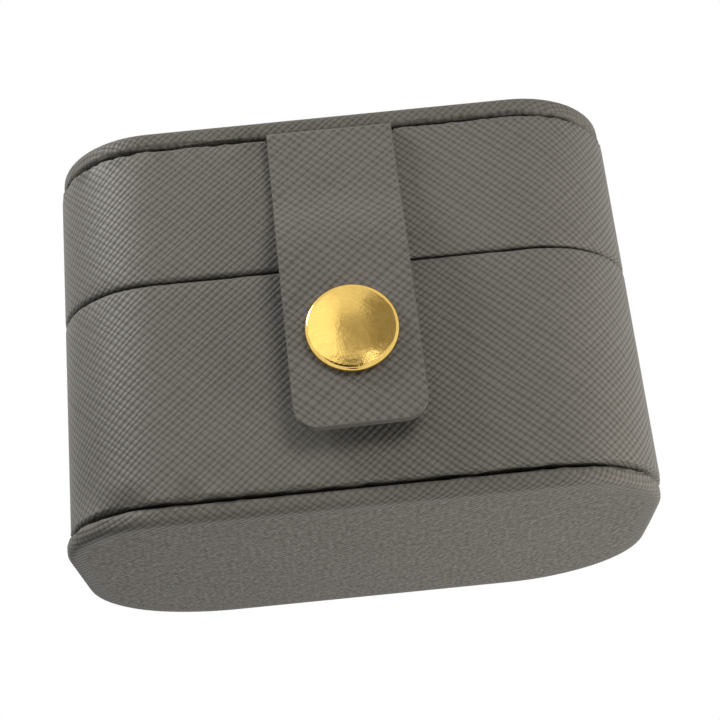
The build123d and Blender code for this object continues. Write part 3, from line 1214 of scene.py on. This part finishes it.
for reflected in (
    ("darkCard", (-0.13, -0.11), (0.03, 0.044), -0.35, (0.03, 0.024, 0.02)),
    ("rimCard", (-0.11, -0.75), (0.035, -0.24), -0.34, (0.05, 0.035, 0.025)),
    ("midCard", (-0.032, 0.066), (0.05, 0.20), -0.34, (0.52, 0.5, 0.48)),
    ("dimCard", (0.05, 0.06), (0.22, 0.30), -0.34, (0.33, 0.31, 0.29)),
    ("brightCard", (-0.25, 0.05), (-0.04, 0.30), -0.34, (1.5, 1.5, 1.45)),
    # a small card glowing far brighter than the surround, though no lamp: a painted glint on the gilt
    ("glintCard", (0.045, 0.036), (0.078, 0.052), -0.345, (4.0, 4.0, 4.0)),
):
    addCard(*reflected)


# The white surround is at full strength where it is seen, and weaker as light
def whiteSurround(name, ambient):
    world = bpy.data.worlds.new(name)
    bpy.context.scene.world = world
    world.use_nodes = True
    nodes, links = world.node_tree.nodes, world.node_tree.links
    rays = nodes.new("ShaderNodeLightPath").outputs
    seen = valueMath(nodes, links, "MAXIMUM", rays["Is Camera Ray"], rays["Is Glossy Ray"])
    seen = valueMath(nodes, links, "MAXIMUM", seen, rays["Is Transmission Ray"])
    strength = valueMath(nodes, links, "MULTIPLY_ADD", seen, 1.0 - ambient, ambient)
    links.new(strength, nodes["Background"].inputs["Strength"])
    nodes["Background"].inputs["Color"].default_value = (1, 1, 1, 1)


whiteSurround("studio", 0.26)

# The floor is lit by the lamps round the box, and further out it glows like the surround, a painted brightness
# that rises with the distance from the middle; it is seen only from above
ground = {
    "size": 4,
    "drop": 0.05 * mm,
    "grey": 0.62,
    "roughness": 0.9,
    "paintedGlow": {"From Min": 0.06, "From Max": 0.6, "To Min": 0.16, "To Max": 0.82},
}


def paleFloor(name):
    material, nodes, links, shader = newMaterial(name)
    shader.inputs["Base Color"].default_value = (ground["grey"], ground["grey"], ground["grey"], 1)
    shader.inputs["Roughness"].default_value = ground["roughness"]
    # Glow that grows from the middle outwards: painted brightness on the floor, which is no lamp
    shader.inputs["Emission Color"].default_value = (1, 1, 1, 1)
    outward = nodes.new("ShaderNodeMapRange")
    outward.interpolation_type = "SMOOTHSTEP"
    for socket, value in ground["paintedGlow"].items():
        outward.inputs[socket].default_value = value
    links.new(vectorMath(nodes, links, "LENGTH", objectPlace(nodes)), outward.inputs["Value"])
    links.new(outward.outputs["Result"], shader.inputs["Emission Strength"])
    rays = nodes.new("ShaderNodeLightPath")
    sides = nodes.new("ShaderNodeNewGeometry")
    clear = nodes.new("ShaderNodeBsdfTransparent")
    join = nodes.new("ShaderNodeMixShader")
    above = valueMath(nodes, links, "SUBTRACT", 1.0, sides.outputs["Backfacing"])
    links.new(valueMath(nodes, links, "MULTIPLY", rays.outputs["Is Camera Ray"], above), join.inputs["Fac"])
    links.new(clear.outputs["BSDF"], join.inputs[1])
    links.new(shader.outputs["BSDF"], join.inputs[2])
    links.new(join.outputs["Shader"], nodes["Material Output"].inputs["Surface"])
    return material


deselectAll()
bpy.ops.mesh.primitive_plane_add(size=ground["size"], location=(0, 0, -ground["drop"]))
floor = bpy.context.object
floor.name = "studioFloor"
floor.data.materials.append(paleFloor("paleFloor"))
bpy.context.scene.view_settings.view_transform = "Standard"
print("studio is lit")

# The frame's own solids, seen where no piece stands in for them
cadFinish = {
    "board": board,
    "suede": suede,
    "velvet": velvet,
    "foam": foam,
    "gilt": gold,
    "spring_steel": steel,
    "saffiano": leather,
}
for part in frame["record"]["subparts"]:
    node = frame["nodes"][part["node"]]
    node.data.materials.clear()
    node.data.materials.append(cadFinish[part["material_slot"]])
